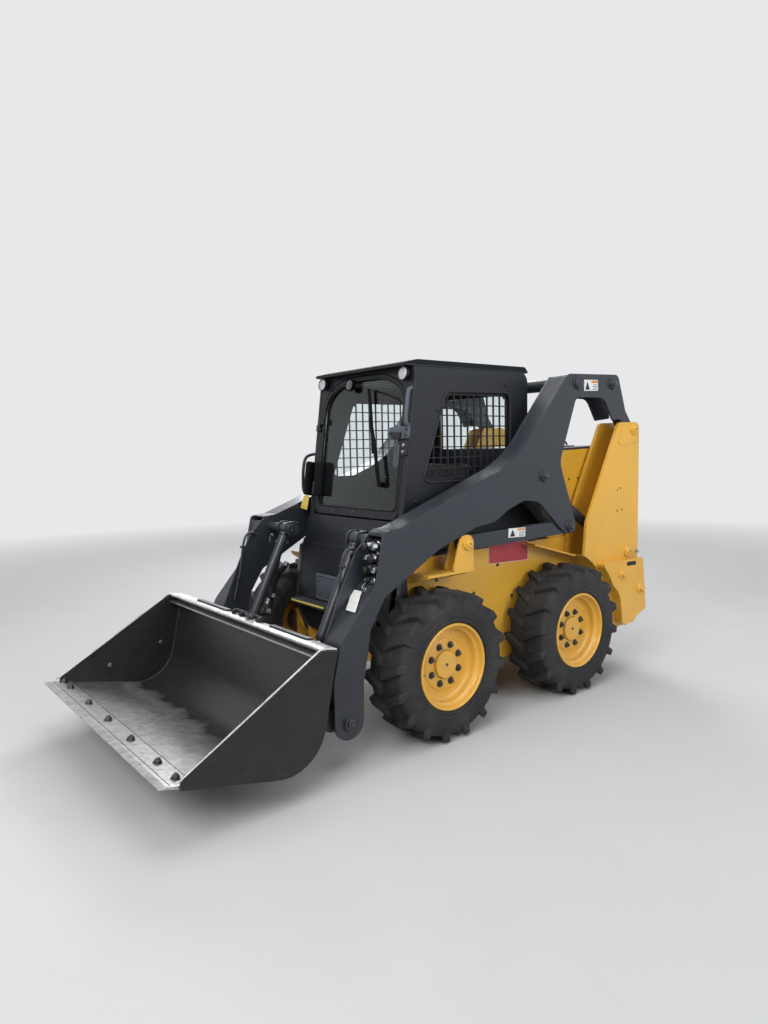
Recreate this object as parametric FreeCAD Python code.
"""Skid steer loader with a vertical-lift boom: one closed solid per piece, in millimetres.

Everything is drawn in the machine's own frame: X forward from the rear axle, Y to the machine's left,
Z up from the ground. Export moves the pieces along X so that the whole machine is centred on the origin.
"""
import FreeCAD
import Part
import math
import os

V = FreeCAD.Vector
OUT = "parts"

# Overall sizes
REAR_END = -860.0
LIP = (2596.0, 265.0)
CENTRE_X = (LIP[0] + REAR_END) / 2
SEAT_GAP = 0.3
PIN_PLAY = 0.3

# Wheels: 10-16.5 tyres
WHEELBASE = 1045.0
TYRE_R = 386.0
TYRE_HALF = 132.0
WHEEL_Y = 648.0
CARCASS_R = 360.0
BEAD_R = 216.0
LUGS_A_SIDE = 16
LUG_HALF_WIDTH = 19.0
LUG_SWEEP = 62.0
WHEEL_SIDES = 36
FLANGE_R = 222.0
NUT_CIRCLE_R = 101.5
NUTS = 8
HUB_CAP_R = 25.0

# Lift linkage pins at rest, as (x, z)
PIN_LINK_FRONT = (829.0, 981.0)
PIN_LINK_REAR = (-51.0, 995.0)
PIN_REAR_LINK = (-721.0, 1579.0)
PIN_BOOM_REAR = (-484.0, 1863.0)
PIN_LIFT_BASE = (-661.0, 782.0)
PIN_LIFT_ROD = (194.0, 1312.0)
PIN_TILT_BASE = (1320.0, 1030.0)
PIN_TILT_ROD = (1605.0, 455.0)
PIN_BUCKET = (1620.0, 215.0)
PIN_R = 20.0

# Layers across one side, from the boom's inner plate to its outer plate
BOOM_IN = 524.0
BOOM_OUT = 660.0
INNER_PLATE = 10.0
OUTER_PLATE = 12.0
LIFT_Y = 569.0
LIFT_R = 30.0
LINK_IN = 606.0
LINK_OUT = 645.0
REAR_LINK_IN = 570.0
REAR_LINK_OUT = 630.0
LUG_IN = 560.0
LUG_OUT = 624.0
TILT_Y = 350.0
TILT_EYE_HALF = 31.0

# Frame and towers
FRAME_HALF = 500.0
FRAME_PLATE = 30.0
FRAME_BOTTOM = 240.0
FRAME_TOP = 908.0
TOWER_OUT = 660.0
TOWER_PLATE = 20.0
ARCH_R = 456.0
WEIGHT_OUT = 720.0
TIE_HOLE_R = 20.0
TIE_Y = 300.0
TIE_REAR = (-826.0, 345.0)
TIE_FRONT = (1052.0, 294.0)

# Cab
CAB_HALF = 440.0
CAB_WALL = 40.0
CAB_REAR = 75.0
CAB_TOP = 1925.0
ROOF_TOP = 1960.0
FRONT_LOW = (1084.0, 1140.0)
FRONT_HIGH = (975.0, 1925.0)
DOOR_BOTTOM = 1105.0
DOOR_THICK = 28.0
DOOR_RIM = 18.0
DOOR_GAP = 6.0
ROOF_LAMP_Y = 380.0
ROOF_LAMP_UP = 783.0
ROOF_LAMP_R = 32.0
ROOF_LAMP_DEEP = 38.0

# Bucket, in its own frame: u forward along the floor, w up from it, tilted back by BUCKET_TILT
BUCKET_TILT = 12.5
BUCKET_HALF = 822.0
BUCKET_SHEET = 8.0
BUCKET_SIDE = 12.0
BUCKET_HEEL_R = 200.0
EDGE_DEPTH = 145.0
EDGE_STEP = 8.0


def outline(rows, y=0.0):
    """Closed wire at one Y from rows of (x, z, corner radius)."""
    points = [V(x, y, z) for x, z, _ in rows]
    count = len(rows)
    corners = []
    for i, (_, _, radius) in enumerate(rows):
        here = points[i]
        back = points[i - 1].sub(here)
        ahead = points[(i + 1) % count].sub(here)
        if radius <= 0:
            corners.append((here, None, here))
            continue
        half = back.getAngle(ahead) / 2
        back.normalize()
        ahead.normalize()
        reach = radius / math.tan(half)
        bisector = back.add(ahead)
        bisector.normalize()
        centre = here.add(bisector * (radius / math.sin(half)))
        corners.append((here.add(back * reach), centre.sub(bisector * radius), here.add(ahead * reach)))
    edges = []
    for i, (start, middle, end) in enumerate(corners):
        if middle is not None:
            edges.append(Part.Arc(start, middle, end).toShape())
        following = corners[(i + 1) % count][0]
        if end.distanceToPoint(following) > 1e-4:
            edges.append(Part.makeLine(end, following))
    return Part.Wire(edges)


def plate(rows, y0, y1):
    """Flat plate with the outline given by rows, between two values of Y."""
    face = Part.Face(outline(rows, y0))
    return face.extrude(V(0, y1 - y0, 0))


def offset_rows(rows, distance):
    """The open path of rows moved sideways, to its left for a positive distance."""
    legs = []
    for (x0, z0, _), (x1, z1, _) in zip(rows, rows[1:]):
        length = math.hypot(x1 - x0, z1 - z0)
        legs.append(((x1 - x0) / length, (z1 - z0) / length))
    moved = []
    for i, (x, z, radius) in enumerate(rows):
        before = legs[max(i - 1, 0)]
        after = legs[min(i, len(legs) - 1)]
        turn = before[0] * after[1] - before[1] * after[0]
        scale = distance / (1 + before[0] * after[0] + before[1] * after[1])
        shift_x = -(before[1] + after[1]) * scale
        shift_z = (before[0] + after[0]) * scale
        if radius > 0:
            radius = max(radius - distance if turn > 0 else radius + distance, 0)
        moved.append((x + shift_x, z + shift_z, radius))
    return moved


def band(rows, thickness, y0, y1):
    """Bent strip of even thickness to the left of an open path of rows."""
    return plate(rows + offset_rows(rows, thickness)[::-1], y0, y1)


def block(x0, x1, y0, y1, z0, z1):
    return Part.makeBox(x1 - x0, y1 - y0, z1 - z0, V(x0, y0, z0))


def across(pin, radius, y0, y1):
    """Round bar along Y through a point (x, z)."""
    return Part.makeCylinder(radius, y1 - y0, V(pin[0], y0, pin[1]), V(0, 1, 0))


def bar(start, end, radius):
    """Round bar between two points in space."""
    return Part.makeCylinder(radius, end.sub(start).Length, start, end.sub(start))


def fuse(*shapes):
    shapes = list(shapes)
    return shapes[0].multiFuse(shapes[1:]).removeSplitter()


def mirrored(shape):
    return shape.mirror(V(0, 0, 0), V(0, 1, 0))


def both(shape):
    return [shape, mirrored(shape)]


def unit(start, end):
    length = math.hypot(end[0] - start[0], end[1] - start[1])
    return (end[0] - start[0]) / length, (end[1] - start[1]) / length, length


def along(start, end, distance):
    ux, uz, _ = unit(start, end)
    return start[0] + ux * distance, start[1] + uz * distance


def to_bucket(point):
    """(u, w) of a machine point in the bucket's frame."""
    c = math.cos(math.radians(BUCKET_TILT))
    s = math.sin(math.radians(BUCKET_TILT))
    return point[0] * c + point[1] * s, -point[0] * s + point[1] * c


def from_bucket(shape):
    """Turns a shape drawn in (u, y, w) into the machine's frame."""
    return shape.rotated(V(0, 0, 0), V(0, 1, 0), -BUCKET_TILT)


# Wheels


def faceted(profile):
    """Solid of flat faces round the Y axis, from a closed profile of (y, radius to the corners) rows."""
    rings = []
    for y, radius in profile:
        angles = [2 * math.pi * i / WHEEL_SIDES for i in range(WHEEL_SIDES)]
        rings.append([V(radius * math.cos(a), y, radius * math.sin(a)) for a in angles])
    faces = []
    for first, second in zip(rings, rings[1:] + rings[:1]):
        for i in range(WHEEL_SIDES):
            j = (i + 1) % WHEEL_SIDES
            corners = [first[i], first[j], second[j], second[i]]
            faces.append(Part.Face(Part.makePolygon(corners + corners[:1])))
    shell = Part.Shell(faces)
    shell.sewShape()
    solid = Part.Solid(shell)
    if solid.Volume < 0:
        solid.reverse()
    return solid


def tyre():
    """Tyre on the origin, its axle along Y and its outer side towards +Y."""
    half = TYRE_HALF
    bead = BEAD_R / math.cos(math.pi / WHEEL_SIDES)
    profile = [(-110, bead), (-half, 300), (-112, CARCASS_R), (112, CARCASS_R), (half, 300), (110, bead)]
    carcass = faceted(profile)
    pitch = 360.0 / LUGS_A_SIDE
    lugs = []
    for side in (1, -1):
        lug = tyre_lug(side)
        for i in range(LUGS_A_SIDE):
            angle = pitch * (i + (0.5 if side < 0 else 0))
            lugs.append(lug.rotated(V(0, 0, 0), V(0, 1, 0), angle))
    return carcass.multiFuse(lugs)


def tyre_lug(side):
    """One tread bar at the top of the tyre, swept back from the centre line to the shoulder."""
    inner, outer = 6.0, TYRE_HALF - 2
    edge = LUG_HALF_WIDTH + LUG_SWEEP
    crown = math.sqrt(TYRE_R ** 2 - LUG_HALF_WIDTH ** 2)
    shoulder = math.sqrt((TYRE_R - 4) ** 2 - edge ** 2)
    rows = [(inner, CARCASS_R - 12), (inner, crown), (outer - 22, shoulder), (outer, shoulder - 50),
            (outer - 30, CARCASS_R - 42)]
    points = [V(-LUG_HALF_WIDTH - LUG_SWEEP * (y - inner) / (outer - inner), side * y, z) for y, z in rows]
    return Part.Face(Part.makePolygon(points + points[:1])).extrude(V(2 * LUG_HALF_WIDTH, 0, 0))


def rim():
    """Wheel with a deep barrel, its disc set well inside the outer flange, and a round hub cap."""
    barrel = BEAD_R / math.cos(math.pi / WHEEL_SIDES) - SEAT_GAP
    profile = [(-100, 198), (-100, barrel), (112, barrel), (112, FLANGE_R), (128, FLANGE_R), (128, 206),
               (62, 198), (48, 165), (48, 75), (72, 75), (72, 18), (34, 18), (34, 170), (48, 198)]
    body = faceted(profile)
    cap = bar(V(0, 34, 0), V(0, 76, 0), HUB_CAP_R)
    nuts = []
    for i in range(NUTS):
        angle = math.radians(360.0 / NUTS * (i + 0.5))
        centre = V(NUT_CIRCLE_R * math.cos(angle), 46, NUT_CIRCLE_R * math.sin(angle))
        hexagon = [centre.add(V(14 * math.cos(a), 0, 14 * math.sin(a)))
                   for a in (math.radians(60 * k) for k in range(7))]
        nuts.append(Part.Face(Part.makePolygon(hexagon)).extrude(V(0, 18, 0)))
    return body.multiFuse([cap] + nuts)


# Chassis


def main_frame():
    """Side plates, belly pan, cross members, axle tubes and the brackets of the control links."""
    side_rows = [(-800, FRAME_BOTTOM, 60), (1070, FRAME_BOTTOM, 110), (1188, 560, 60),
                 (1138, FRAME_TOP, 15), (-800, FRAME_TOP, 15)]
    inner = FRAME_HALF - FRAME_PLATE
    pieces = both(plate(side_rows, inner, FRAME_HALF))
    pieces.append(block(-740, 1010, -inner - 5, inner + 5, FRAME_BOTTOM, FRAME_BOTTOM + 14))
    pieces.append(block(-800, -782, -inner - 5, inner + 5, FRAME_BOTTOM + 60, 470))
    pieces.append(block(1000, 1016, -inner - 5, inner + 5, FRAME_BOTTOM + 4, 350))
    pieces.append(block(40, 60, -inner - 5, inner + 5, FRAME_BOTTOM + 4, 700))
    for x in (0.0, WHEELBASE):
        pieces += both(across((x, TYRE_R), 62, FRAME_HALF - 5, 610))
        pieces += both(across((x, TYRE_R), 95, 606, WHEEL_Y + 34 - SEAT_GAP))
    pieces += both(link_bracket())
    ledge = [(200, FRAME_TOP, 0), (-190, 800, 0)]
    pieces += both(band(ledge, 10, FRAME_HALF - 5, 600))
    pieces += both(tie_lug(TIE_REAR, -790)) + both(tie_lug(TIE_FRONT, 1010))
    return fuse(*pieces)


def tie_lug(hole, root_x):
    """Tie-down lug: a plate with a round end and a hole across it, standing out from root_x."""
    x, z = hole
    edge = math.copysign(34, x - root_x)
    rows = [(root_x, z + 34, 0), (x + edge, z + 34, 33), (x + edge, z - 34, 33), (root_x, z - 34, 0)]
    lug = plate(rows, TIE_Y - 9, TIE_Y + 9)
    return lug.cut(across(hole, TIE_HOLE_R, TIE_Y - 20, TIE_Y + 20))


def link_bracket():
    """Forked ear on a ribbed shelf above the front tyre, with the control link's front pin."""
    x, z = PIN_LINK_FRONT
    ear = [(x - 46, z + 46, 45), (x + 46, z + 46, 45), (x + 108, 838, 20), (x - 46, 838, 0)]
    outer = plate(ear, LINK_OUT + 5, LINK_OUT + 17)
    inner = plate(ear, LINK_IN - 19, LINK_IN - 5)
    shelf = block(x - 54, x + 276, FRAME_HALF - 5, LINK_OUT + 17, 828, 842)
    gusset = [V(0, FRAME_HALF - 5, 830), V(0, LINK_OUT + 10, 830), V(0, LINK_OUT + 10, 822), V(0, FRAME_HALF - 5, 780)]
    gusset_face = Part.Face(Part.makePolygon(gusset + gusset[:1]))
    ribs = [gusset_face.translated(V(at, 0, 0)).extrude(V(12, 0, 0)) for at in (x - 6, x + 150, x + 262)]
    pin = across(PIN_LINK_FRONT, PIN_R, LINK_IN - 12, LINK_OUT + 24)
    head = across(PIN_LINK_FRONT, 34, LINK_OUT + 16, LINK_OUT + 28)
    return fuse(outer, inner, shelf, *ribs, pin, head)


REAR_PIVOT = (-822.0, -486.0)
REAR_HINGES = (640.0, 1280.0)
REAR_PIN_R = 8.0


def rear_door_lugs():
    """Hinge lugs and pins for the rear door, on the right tower."""
    x, y = REAR_PIVOT
    pieces = []
    for z in REAR_HINGES:
        lug = Part.makeCylinder(14, 40, V(x, y, z))
        foot = block(x, -780, -FRAME_HALF - 18, -FRAME_HALF - 0.5, z, z + 40)
        arm = block(x, x + 18, -FRAME_HALF - 16, y, z, z + 40)
        pieces.append(fuse(lug, arm, foot, Part.makeCylinder(REAR_PIN_R, 76, V(x, y, z + 2))))
    return pieces


def tower():
    """Left tower: two plates joined by a rear cover, with the pins of the rear link and lift cylinder."""
    rows = [(-791, 1626, 45), (-560, 1622, 30), (-222, 1005, 60), (-196, 780, 0),
            (-430, 290, 0), (-785, 290, 60)]
    arch = across((0, TYRE_R), ARCH_R, FRAME_HALF - 10, TOWER_OUT + 10)
    outer = plate(rows, TOWER_OUT - TOWER_PLATE, TOWER_OUT)
    inner = plate(rows, FRAME_HALF, FRAME_HALF + TOWER_PLATE)
    back = band([(-785, 340, 0), (-791, 1560, 0)], -12, FRAME_HALF + 15, TOWER_OUT - 15)
    well = across((0, TYRE_R), ARCH_R + 12, FRAME_HALF + 15, TOWER_OUT - 15)
    well = well.common(block(-520, -190, 480, 700, 300, 800))
    doubler = plate([(-785, 1619, 40), (-592, 1615, 26), (-543, 1478, 20), (-767, 1499, 20)],
                    TOWER_OUT - 1, TOWER_OUT + 6)
    body = fuse(outer, inner, back, well, doubler).cut(arch)
    pins = []
    for pin in (PIN_REAR_LINK, PIN_LIFT_BASE):
        pins.append(across(pin, PIN_R, FRAME_HALF + 5, TOWER_OUT + 4))
        pins.append(across(pin, 38, TOWER_OUT - 4, TOWER_OUT + 12))
    return fuse(body, *pins)


def counterweight():
    """Slab on the outside of the left tower, its front edge round the rear tyre."""
    rows = [(-757, 734, 18), (-798, 389, 25), (-567, 306, 20), (-524, 330, 10), (-497, 518, 150),
            (-338, 670, 10), (-322, 742, 10)]
    slab = plate(rows, TOWER_OUT + SEAT_GAP, WEIGHT_OUT)
    return slab.cut(across((0, TYRE_R), ARCH_R + 8, 600, 760))


def engine_block():
    """Plain mass in the engine's place."""
    return block(-640, -60, -250, 250, FRAME_BOTTOM + 14 + SEAT_GAP, 1060)


HOOD_LINE = [(-60, 1448, 0), (-640, 1464, 60), (-785, 1452, 0)]
HOOD_PIVOT = (-52.0, 1466.0)
HOOD_HALF = 488.0
HOOD_PIN_R = 5.0
PANEL_IN = 474.0


def side_panel():
    """Upright panel beside the engine, left side."""
    rows = [(-785, FRAME_TOP + SEAT_GAP, 0), (-60, FRAME_TOP + SEAT_GAP, 0)] + HOOD_LINE
    panel = plate(rows, PANEL_IN, HOOD_HALF)
    x, z = HOOD_PIVOT
    ear = plate([(x - 60, z - 60, 0), (x - 8, z - 60, 0), (x + 12, z + 12, 11), (x - 12, z + 12, 11)],
                HOOD_HALF + 1, HOOD_HALF + 7)
    foot = block(x - 60, x - 12, HOOD_HALF - 4, HOOD_HALF + 7, z - 60, z - 22)
    pin = across(HOOD_PIVOT, HOOD_PIN_R, HOOD_HALF - 30, HOOD_HALF + 7)
    return fuse(panel, ear, foot, pin)


def engine_hood():
    """Bent lid over the engine bay, resting on both side panels."""
    line = offset_rows(HOOD_LINE, -SEAT_GAP)
    top = band(line, -14, -HOOD_HALF, HOOD_HALF)
    roll = across(HOOD_PIVOT, 10, -HOOD_HALF, HOOD_HALF)
    bores = both(across(HOOD_PIVOT, HOOD_PIN_R + PIN_PLAY, HOOD_HALF - 36, HOOD_HALF + 5))
    return fuse(top, roll).cut(Part.makeCompound(bores))


def rear_door():
    """Bowed rear door with a louvred grille."""
    path = [(-806, 480, 0), (REAR_END + 14, 600, 90), (REAR_END + 14, 1345, 90), (-806, 1470, 0)]
    skin = band(path, 14, -460, 460)
    slots = [block(-900, -800, -330, 330, z, z + 26) for z in range(660, 1290, 58)]
    x, y = REAR_PIVOT
    knuckles = []
    for z in REAR_HINGES:
        ring = Part.makeCylinder(14, 40, V(x, y, z + 40.5))
        tab = block(REAR_END + 4, x, y + 6, y + 34, z + 40.5, z + 80.5)
        knuckles.append(ring.fuse(tab).cut(Part.makeCylinder(REAR_PIN_R + PIN_PLAY, 50, V(x, y, z + 36))))
    return fuse(skin.cut(Part.makeCompound(slots)), *knuckles)


# Cab


def cab_frame():
    """Hollow cab shell with window and door openings, and the foot tub between the frame's side plates."""
    shell_rows = [(CAB_REAR, FRAME_TOP + SEAT_GAP, 10), (1146, FRAME_TOP + SEAT_GAP, 20), FRONT_LOW + (60,),
                  FRONT_HIGH + (4,), (CAB_REAR, CAB_TOP, 60)]
    inside = CAB_HALF - CAB_WALL
    shell = plate(shell_rows, -CAB_HALF, CAB_HALF)
    shell = shell.cut(block(CAB_REAR + CAB_WALL, 1400, -inside, inside, 800, CAB_TOP - 40))
    top = (CAB_TOP - DOOR_BOTTOM - 2) / math.cos(math.radians(lean()))
    header = door_sheet([(-CAB_HALF, 560, 0), (CAB_HALF, 560, 0), (CAB_HALF, top, 0), (-CAB_HALF, top, 0)], -12, 0)
    opening = door_sheet(door_line(DOOR_RIM + DOOR_GAP, -DOOR_GAP / 2), -DOOR_THICK - DOOR_GAP, 10)
    shell = shell.fuse(on_door(header)).cut(on_door(opening))
    for bevel in both(roof_bevel()):
        shell = shell.cut(bevel)
    for opening in both(plate(SIDE_WINDOW, inside - 10, CAB_HALF + 10)):
        shell = shell.cut(opening)
    shell = shell.cut(block(CAB_REAR - 20, CAB_REAR + CAB_WALL + 20, -300, 300, 1470, 1800))
    sill_top = DOOR_BOTTOM - 9
    slope = (1146 - FRONT_LOW[0]) / (FRONT_LOW[1] - FRAME_TOP)
    sill = band([(1146, FRAME_TOP + SEAT_GAP, 0), (1146 - slope * (sill_top - FRAME_TOP), sill_top, 0)],
                10, -inside - 5, inside + 5)
    tub_side = [(330, 372, 20), (1120, 372, 40), (1196, 600, 40), (1146, FRAME_TOP + 40, 0),
                (330, FRAME_TOP + 40, 0)]
    tub = both(plate(tub_side, 428, CAB_HALF))
    tub.append(band([(330, 360, 0)] + TUB_FRONT, 12, -432, 432))
    tub.append(band([(342, 366, 0), (342, 745, 0), (CAB_REAR + 10, 745, 0)], 12, -432, 432))
    tub.append(block(CAB_REAR, CAB_REAR + 12, -432, 432, 745, FRAME_TOP + 20))
    flange = both(block(CAB_REAR, 1120, CAB_HALF - 15, FRAME_HALF - 2, FRAME_TOP + SEAT_GAP, FRAME_TOP + 10))
    return fuse(shell, sill, *tub, *flange, *door_lugs())


TUB_FRONT = [(1110, 360, 50), (1196, 600, 0), (1146, FRAME_TOP + 20, 0)]
SIDE_WINDOW = [(233, 1296, 170), (944, 1300, 40), (758, 1792, 60), (233, 1800, 50)]


def side_guard():
    """Square mesh in the left side window."""
    rows = offset_rows(SIDE_WINDOW + SIDE_WINDOW[:2], SEAT_GAP)[1:5]
    panel = plate(rows, 414, 424)
    inset = offset_rows(SIDE_WINDOW + SIDE_WINDOW[:2], 14)[1:5]
    columns, lines = 13, 8
    left, right, low, high = 250.0, 945.0, 1316.0, 1780.0
    pitch_x = (right - left) / columns
    pitch_z = (high - low) / lines
    holes = []
    for i in range(columns):
        for j in range(lines):
            x = left + pitch_x * i
            z = low + pitch_z * j
            holes.append(block(x + 3, x + pitch_x - 3, 400, 440, z + 3, z + pitch_z - 3))
    open_area = Part.makeCompound(holes).common(plate(inset, 400, 440))
    kept = [hole for hole in open_area.Solids if hole.Volume > 40 * 200]
    return panel.cut(Part.makeCompound(kept))


def roof_bevel():
    """Wedge that slants the left edge of the roof, deeper towards the front."""
    front, low, run = 1060.0, 1861.0, 28.0
    rise = ROOF_TOP - low
    corners = [(CAB_HALF + 0.3 * run, low - 0.3 * rise), (CAB_HALF + 0.3 * run, low + 1.2 * rise),
               (CAB_HALF - 1.2 * run, low + 1.2 * rise)]
    points = [V(front, y, z) for y, z in corners]
    return Part.Face(Part.makePolygon(points + points[:1])).extrude(V(-1100, 0, 66))


def cab_roof():
    """Roof cap with a short visor."""
    rows = [(62, CAB_TOP + SEAT_GAP, 5), (1036, CAB_TOP + SEAT_GAP, 4), (1030, 1939, 5), (940, ROOF_TOP, 60),
            (84, ROOF_TOP, 18)]
    cap = plate(rows, -CAB_HALF + 2, CAB_HALF - 2)
    for bevel in both(roof_bevel()):
        cap = cap.cut(bevel)
    return cap


def rear_window():
    return block(CAB_REAR + 16, CAB_REAR + 22, -300 + SEAT_GAP, 300 - SEAT_GAP, 1470 + SEAT_GAP, 1800 - SEAT_GAP)


def lean():
    """Angle in degrees by which the cab's front leans back."""
    return math.degrees(math.atan2(FRONT_LOW[0] - FRONT_HIGH[0], FRONT_HIGH[1] - FRONT_LOW[1]))


def on_door(shape):
    """Places a shape drawn with x out of the door, y across and z up from the door's bottom edge."""
    drop = FRONT_LOW[1] - DOOR_BOTTOM
    foot = FRONT_LOW[0] + drop * math.tan(math.radians(lean()))
    return shape.rotated(V(0, 0, 0), V(0, 1, 0), -lean()).translated(V(foot, 0, DOOR_BOTTOM))


def door_sheet(rows, x0, x1):
    """Sheet with an outline of (y, z, corner radius) rows, between two depths."""
    flat = plate([(y, z, r) for y, z, r in rows], 0, x1 - x0)
    turned = flat.rotated(V(0, 0, 0), V(0, 0, 1), 90)
    return turned.translated(V(x1, 0, 0))


DOOR_PIVOT = (14.0, -403.0)
DOOR_HINGES = (110.0, 500.0)
DOOR_PIN_R = 6.0


def door_lugs():
    """Hinge lugs and pins on the cab's right front post."""
    x, y = DOOR_PIVOT
    pieces = []
    for z in DOOR_HINGES:
        lug = Part.makeCylinder(12, 40, V(x, y, z))
        arm = block(-6, x, -434, y, z, z + 40)
        pin = Part.makeCylinder(DOOR_PIN_R, 78, V(x, y, z + 2))
        pieces.append(on_door(fuse(lug, arm, pin)))
    return pieces


DOOR_GLASS = [(-376, 46, 30), (376, 46, 30), (376, 698, 160), (190, 790, 420), (-190, 790, 420), (-376, 698, 160)]


def door_line(distance, foot):
    """Outline that lies a distance outside the door's glass, its lower edge at the height foot."""
    rows = offset_rows(DOOR_GLASS + DOOR_GLASS[:2], -distance)[1:7]
    return [(y, foot if z < 100 else z, radius) for y, z, radius in rows]


def cab_door():
    """Door frame with an arched opening, and its handle."""
    frame = door_sheet(door_line(DOOR_RIM, 0), -DOOR_THICK, 0)
    frame = frame.cut(door_sheet(DOOR_GLASS, -DOOR_THICK - 5, 5))
    handle = block(-2, 26, 318, 388, 440, 470)
    x, y = DOOR_PIVOT
    knuckles = []
    for z in DOOR_HINGES:
        ring = Part.makeCylinder(12, 40, V(x, y, z + 40.5))
        edge = DOOR_GLASS[0][0] - DOOR_RIM + 1
        tab = block(-4, x + 4, y + 6, y + 44, z + 40.5, z + 80.5).cut(block(-6, 0, y, edge, z, z + 90))
        tab = tab.cut(block(-6, 0, DOOR_GLASS[0][0] - 1, y + 50, z, z + 90))
        knuckle = ring.fuse(tab).cut(Part.makeCylinder(DOOR_PIN_R + PIN_PLAY, 50, V(x, y, z + 36)))
        knuckles.append(knuckle)
    return on_door(fuse(frame, handle, *knuckles))


def door_glass():
    rows = offset_rows(DOOR_GLASS + DOOR_GLASS[:2], SEAT_GAP)[1:7]
    return on_door(door_sheet(rows, -20, -14))


WIPER_PIVOT = (236.0, 190.0)


def wiper():
    """Two-part wiper arm on the door glass."""
    y, z = WIPER_PIVOT
    base = V(-14 + SEAT_GAP, y, z)
    tip = V(14, 60, 726)
    knuckle = V(18, y, z)
    hub = bar(base, V(26, y, z), 16)
    arm = bar(knuckle, V(12, 104, 560), 7)
    blade = bar(V(10, 150, 360), tip, 7)
    return on_door(fuse(hub, arm, blade))


def seat():
    """Operator's seat on its box."""
    base = block(345, 800, -200, 200, 372 + SEAT_GAP, 700)
    cushion = plate([(360, 695, 20), (860, 700, 60), (860, 830, 50), (360, 800, 30)], -235, 235)
    back = plate([(330, 790, 30), (470, 800, 50), (400, 1400, 60), (262, 1390, 60)], -225, 225)
    return fuse(base, cushion, back)


def console():
    """Left arm console with its control stick."""
    body = plate([(430, 760, 20), (900, 760, 30), (880, 930, 50), (700, 975, 60), (430, 975, 30)], 285, 385)
    base = block(430, 800, 300, 380, 372 + SEAT_GAP, 765)
    stick = bar(V(820, 335, 930), V(860, 335, 1080), 14)
    grip = bar(V(856, 335, 1070), V(872, 335, 1165), 24)
    return fuse(body, base, stick, grip)


def lap_bar():
    """Padded bar over the operator's lap, on two arms from the rear wall."""
    pieces = []
    for side in (1, -1):
        root = V(CAB_REAR + CAB_WALL + 2, side * 262, 1180)
        bend = V(560, side * 262, 1120)
        front = V(700, side * 200, 1060)
        pieces += [bar(root, bend, 15), bar(bend, front, 15), Part.makeSphere(15, bend), Part.makeSphere(15, front)]
    pieces.append(bar(V(700, -200, 1060), V(700, 200, 1060), 15))
    return fuse(*pieces)


def front_step():
    """Tread step across the foot of the tub."""
    foot, knee = TUB_FRONT[0], TUB_FRONT[1]
    slope = (knee[0] - foot[0]) / (knee[1] - foot[1])
    low, high = 564.0, 596.0
    rear_low = foot[0] + slope * (low - foot[1]) + SEAT_GAP
    rear_high = foot[0] + slope * (high - foot[1]) + SEAT_GAP
    return plate([(rear_low, low, 0), (1262, low, 8), (1268, high, 8), (rear_high, high, 0)], -420, 420)


def roof_lamp(y):
    """Work lamp under the roof's front corner."""
    return on_door(bar(V(SEAT_GAP, y, ROOF_LAMP_UP), V(ROOF_LAMP_DEEP, y, ROOF_LAMP_UP), ROOF_LAMP_R))


# Boom


BOOM_ROWS = [
    (-545, 1922, 45), (-30, 1906, 70), (417, 1410, 700), (1290, 1101, 60), (1390, 1090, 25),
    (1446, 840, 60), (1655, 600, 120), (1702, 420, 60), (1702, 133, 80), (1540, 133, 80), (1532, 380, 100),
    (1480, 640, 80), (1392, 776, 50), (1030, 972, 300), (755, 1062, 200), (610, 1078, 60),
    (500, 1138, 100), (365, 1180, 100), (240, 1163, 90), (30, 985, 60), (-50, 938, 50),
    (-108, 1008, 40), (46, 1385, 110), (-112, 1773, 60), (-395, 1773, 85), (-489, 1636, 10), (-645, 1652, 12),
]
ELBOW = BOOM_ROWS.index((1446, 840, 60))
INNER_ROWS = BOOM_ROWS[:ELBOW - 1] + [(1375, 1082, 20), (1468, 990, 50), (1548, 838, 90)] + BOOM_ROWS[ELBOW + 1:]
TOP_COVER = [(-474, 1920.0, 0)] + BOOM_ROWS[1:4] + [(1366, 1092.6, 0)]
FRONT_COVER = [(1446, 840, 0), (1655, 600, 120), (1700, 430, 0)]
UNDER_COVER = [(1545, 330, 0), (1480, 640, 80), (1392, 776, 50), (1030, 972, 300), (755, 1062, 200), (625, 1077, 0)]
REAR_TUBE = (-129.0, 1857.0)
FRONT_TUBE = (1585.0, 335.0)


def boom_arm():
    """Left arm: an outer and an inner plate with cover strips between them."""
    outer = plate(BOOM_ROWS, BOOM_OUT - OUTER_PLATE, BOOM_OUT)
    inner = plate(INNER_ROWS, BOOM_IN, BOOM_IN + INNER_PLATE)
    between = (BOOM_IN + 5, BOOM_OUT - 6)
    covers = [band(TOP_COVER, -10, *between), band(FRONT_COVER, -10, *between), band(UNDER_COVER, -10, *between)]
    bosses = [across(pin, r, BOOM_OUT - 2, BOOM_OUT + 12) for pin, r in
              ((PIN_BOOM_REAR, 34), (PIN_LIFT_ROD, 34), (PIN_LINK_REAR, 34), (REAR_TUBE, 40))]
    pins = [
        across(PIN_BUCKET, PIN_R, BOOM_IN - 8, BOOM_OUT + 8),
        across(PIN_BUCKET, 36, BOOM_OUT - 2, BOOM_OUT + 12),
    ]
    arm = fuse(outer, inner, *covers, *bosses, *pins, *tilt_bracket())
    return arm.cut(across(PIN_LINK_REAR, PIN_R + PIN_PLAY, BOOM_OUT - OUTER_PLATE - 5, BOOM_OUT + 3))


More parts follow.
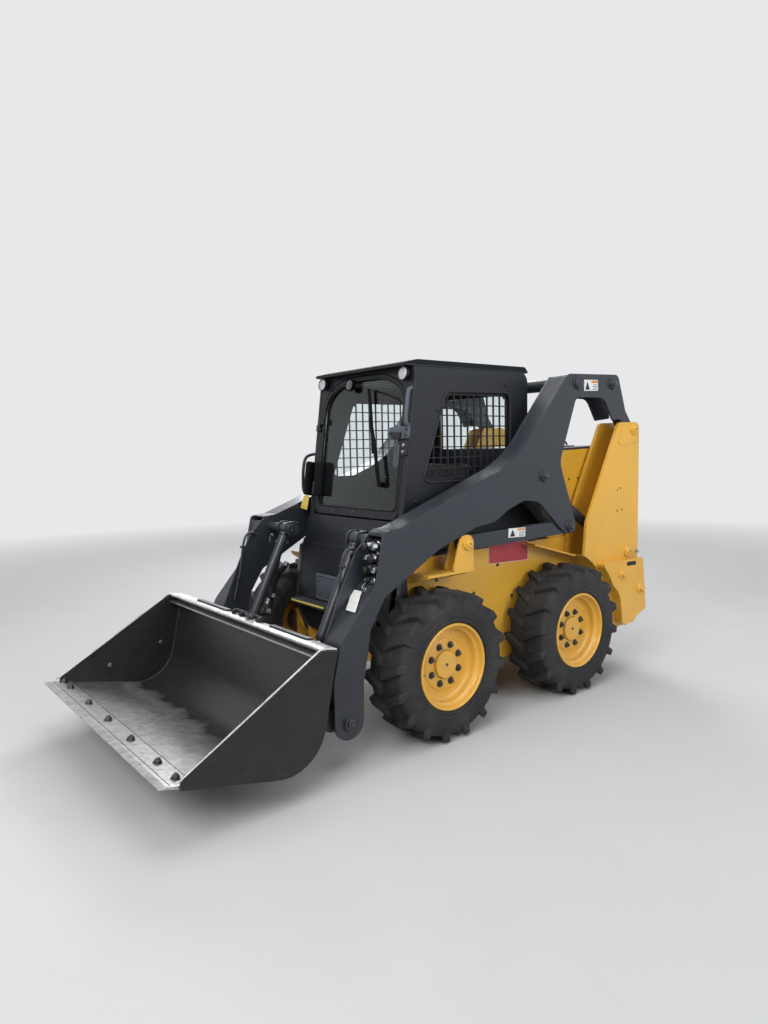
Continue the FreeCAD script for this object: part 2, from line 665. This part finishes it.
def tilt_bracket():
    """Fork inside the left arm for the base of its tilt cylinder."""
    x, z = PIN_TILT_BASE
    ear = [(x - 52, z - 40, 20), (x + 40, z - 40, 38), (x + 40, z + 40, 38), (x - 52, z + 40, 25)]
    near = plate(ear, TILT_Y + TILT_EYE_HALF + 3, TILT_Y + TILT_EYE_HALF + 17)
    far = plate(ear, TILT_Y - TILT_EYE_HALF - 17, TILT_Y - TILT_EYE_HALF - 3)
    web = block(x - 52, x - 40, TILT_Y - TILT_EYE_HALF - 17, BOOM_IN + 5, z - 34, z + 34)
    boss = across(PIN_TILT_BASE, 28, TILT_Y + TILT_EYE_HALF + 10, BOOM_IN + 5)
    pin = across(PIN_TILT_BASE, PIN_R, TILT_Y - TILT_EYE_HALF - 12, TILT_Y + TILT_EYE_HALF + 12)
    return [near, far, web, boss, pin]


def boom():
    """Both arms, joined by a cross tube behind the cab and another behind the bucket's carrier."""
    rear = across(REAR_TUBE, 38, -BOOM_IN - 5, BOOM_IN + 5)
    front = across(FRONT_TUBE, 42, -BOOM_IN - 5, BOOM_IN + 5)
    return fuse(*both(boom_arm()), rear, front)


def coupler_block():
    """Auxiliary couplers in the recess at the left arm's elbow."""
    body = block(1330, 1375, BOOM_IN + INNER_PLATE + SEAT_GAP, 640, 870, 1040)
    plugs = [bar(V(1372, y, z), V(1462, y, z), r) for y, z, r in ((572, 1010, 16), (618, 1000, 16),
             (575, 945, 20), (618, 930, 20), (596, 888, 12))]
    return fuse(body, *plugs)


def eye_link(start, end, half_height, y0, y1, hole):
    """Straight link between two pins, round at both ends."""
    ux, uz, _ = unit(start, end)
    nx, nz = -uz * half_height, ux * half_height
    rows = [(start[0] + nx - ux * half_height, start[1] + nz - uz * half_height, half_height - 1),
            (start[0] - nx - ux * half_height, start[1] - nz - uz * half_height, half_height - 1),
            (end[0] - nx + ux * half_height, end[1] - nz + uz * half_height, half_height - 1),
            (end[0] + nx + ux * half_height, end[1] + nz + uz * half_height, half_height - 1)]
    body = plate(rows, y0, y1)
    for pin in hole:
        body = body.cut(across(pin, PIN_R + PIN_PLAY, y0 - 5, y1 + 5))
    return body


def control_link():
    """Left control link, from the frame's ear to the boom's lower lobe, with the lobe's pin."""
    body = eye_link(PIN_LINK_FRONT, PIN_LINK_REAR, 40, LINK_IN, LINK_OUT, [PIN_LINK_FRONT])
    return fuse(body, across(PIN_LINK_REAR, PIN_R, LINK_IN, BOOM_OUT + 2.5))


def rear_link():
    """Left rear link, from the tower's top to the boom's rear pin."""
    body = eye_link(PIN_REAR_LINK, PIN_BOOM_REAR, 42, REAR_LINK_IN, REAR_LINK_OUT, [PIN_REAR_LINK])
    pin = across(PIN_BOOM_REAR, PIN_R, BOOM_IN + INNER_PLATE + 6, BOOM_OUT - OUTER_PLATE - 6)
    return fuse(body, pin)


def barrel(base, rod_pin, y, radius, bore, length, eye_half):
    """Cylinder barrel with an eye at its base and an open bore for the rod."""
    start = along(base, rod_pin, 30)
    end = along(base, rod_pin, length)
    body = bar(V(start[0], y, start[1]), V(end[0], y, end[1]), radius)
    eye = across(base, radius + 4, y - eye_half, y + eye_half)
    floor = along(base, rod_pin, 48)
    beyond = along(base, rod_pin, length + 20)
    hollow = bar(V(floor[0], y, floor[1]), V(beyond[0], y, beyond[1]), bore)
    solid = fuse(body, eye).cut(hollow)
    return solid.cut(across(base, PIN_R + PIN_PLAY, y - eye_half - 5, y + eye_half + 5))


def rod(base, rod_pin, y, radius, inside, eye_half):
    """Cylinder rod with the eye at its far end closed by its pin's middle."""
    start = along(base, rod_pin, inside)
    end = along(base, rod_pin, unit(base, rod_pin)[2] - 20)
    body = bar(V(start[0], y, start[1]), V(end[0], y, end[1]), radius)
    eye = across(rod_pin, 32, y - eye_half, y + eye_half)
    return fuse(body, eye)


def lift_barrel():
    return barrel(PIN_LIFT_BASE, PIN_LIFT_ROD, LIFT_Y, LIFT_R, 20 + PIN_PLAY, 840, LIFT_R + 1)


def lift_rod():
    return rod(PIN_LIFT_BASE, PIN_LIFT_ROD, LIFT_Y, 20, 70, LIFT_R)


def tilt_barrel():
    return barrel(PIN_TILT_BASE, PIN_TILT_ROD, TILT_Y, 29, 18 + PIN_PLAY, 550, TILT_EYE_HALF)


def tilt_rod():
    return rod(PIN_TILT_BASE, PIN_TILT_ROD, TILT_Y, 18, 104, TILT_EYE_HALF)


# Quick attach and bucket


def quick_attach():
    """Carrier between the arms and the bucket: plate, rails, cylinder ears and pivot lugs."""
    back = to_bucket((1797.0, 628.0))[0] - BUCKET_SHEET - SEAT_GAP
    pivot = to_bucket(PIN_BUCKET)
    rod_pin = to_bucket(PIN_TILT_ROD)
    pieces = [block(back - 16, back, -505, 505, -98, 190)]
    pieces.append(block(back - 60, back - 8, -505, 505, 150, 190))
    pieces.append(block(back - 92, back - 8, -LUG_OUT, LUG_OUT, -165, -92))
    for y in (TILT_Y - TILT_EYE_HALF - 16, TILT_Y + TILT_EYE_HALF + 2):
        ear = [(rod_pin[0] - 36, rod_pin[1] + 34, 33), (back - 8, rod_pin[1] + 70, 0), (back - 8, -60, 0),
               (back - 60, -60, 20), (rod_pin[0] + 20, rod_pin[1] - 36, 60), (rod_pin[0] - 36, rod_pin[1] - 36, 33)]
        pieces += both(plate(ear, y, y + 14))
    lug = [(pivot[0] - 50, pivot[1] + 50, 45), (back - 40, pivot[1] + 50, 20), (back - 40, pivot[1] - 30, 20),
           (pivot[0] - 50, pivot[1] - 50, 45)]
    lug_plate = plate(lug, LUG_IN, LUG_OUT)
    lug_plate = lug_plate.cut(across(pivot, PIN_R + PIN_PLAY, LUG_IN - 5, LUG_OUT + 5))
    pieces += both(lug_plate)
    for y in (TILT_Y - TILT_EYE_HALF - 25, TILT_Y + TILT_EYE_HALF + 14):
        pieces += both(across(rod_pin, 28, y, y + 11))
    return from_bucket(fuse(*pieces))


def bucket_shell():
    """Bucket: bent back and floor between two side plates, with the bar along its top edge."""
    lip = to_bucket(LIP)
    top = to_bucket((1797.0, 628.0))
    back = top[0]
    floor = lip[1]
    seam = lip[0] - EDGE_DEPTH
    path = [(back, top[1], 0), (back, floor, BUCKET_HEEL_R), (seam, floor, 0)]
    inside = BUCKET_HALF - BUCKET_SIDE / 2
    skin = band(path, -BUCKET_SHEET, -inside, inside)
    side = [(back - BUCKET_SHEET, top[1], 0), (back + 72, top[1], 0), (lip[0] - 80, floor + 30, 30),
            (seam + 60, floor - BUCKET_SHEET, 0), (back - BUCKET_SHEET, floor - BUCKET_SHEET, BUCKET_HEEL_R)]
    sides = both(plate(side, BUCKET_HALF - BUCKET_SIDE, BUCKET_HALF))
    rail = block(back - BUCKET_SHEET, back + 62, -inside, inside, top[1] - 10, top[1] + 4)
    return from_bucket(fuse(skin, rail, *sides))


def cutting_edge():
    """Wear plate under the bucket's front, bevelled to the lip."""
    lip = to_bucket(LIP)
    low = lip[1]
    rear = lip[0] - EDGE_DEPTH + SEAT_GAP
    under = low - BUCKET_SHEET - SEAT_GAP
    rows = [(lip[0], low - 2, 0), (lip[0] - 30, low + EDGE_STEP, 0), (rear, low + EDGE_STEP, 0), (rear, under, 0)]
    half = BUCKET_HALF - BUCKET_SIDE - SEAT_GAP
    return from_bucket(plate(rows, -half, half))


def write(name, shape):
    """Writes one piece, moved so that the machine's middle is on the origin."""
    shape.translated(V(-CENTRE_X, 0, 0)).exportStep(OUT + "/" + name + ".step")
    print(name, len(shape.Solids), round(shape.Volume / 1e6, 2), shape.isValid())


def main():
    os.makedirs(OUT, exist_ok=True)
    one_tyre = tyre()
    one_rim = rim()
    for name, x, side in (("front_left", WHEELBASE, 1), ("front_right", WHEELBASE, -1),
                          ("rear_left", 0.0, 1), ("rear_right", 0.0, -1)):
        for kind, shape in (("tyre", one_tyre), ("rim", one_rim)):
            turned = shape if side > 0 else mirrored(shape)
            write(kind + "_" + name, turned.translated(V(x, side * WHEEL_Y, TYRE_R)))
    left_tower = tower()
    write("tower_left", left_tower)
    write("tower_right", fuse(mirrored(left_tower), *rear_door_lugs()))
    paired = {
        "counterweight": counterweight(), "side_panel": side_panel(),
        "side_guard": side_guard(), "console": console(), "control_link": control_link(),
        "rear_link": rear_link(), "lift_barrel": lift_barrel(), "lift_rod": lift_rod(),
        "tilt_barrel": tilt_barrel(), "tilt_rod": tilt_rod(),
    }
    for name, shape in paired.items():
        write(name + "_left", shape)
        write(name + "_right", mirrored(shape))
    single = {
        "main_frame": main_frame(), "engine_block": engine_block(), "engine_hood": engine_hood(),
        "rear_door": rear_door(), "cab_frame": cab_frame(), "cab_roof": cab_roof(),
        "rear_window": rear_window(), "cab_door": cab_door(), "door_glass": door_glass(),
        "wiper": wiper(), "seat": seat(), "lap_bar": lap_bar(), "front_step": front_step(),
        "roof_lamp_left": roof_lamp(ROOF_LAMP_Y), "roof_lamp_right": roof_lamp(-ROOF_LAMP_Y), "boom": boom(),
        "coupler_block": coupler_block(), "quick_attach": quick_attach(),
        "bucket_shell": bucket_shell(), "cutting_edge": cutting_edge(),
    }
    for name, shape in single.items():
        write(name, shape)


main()
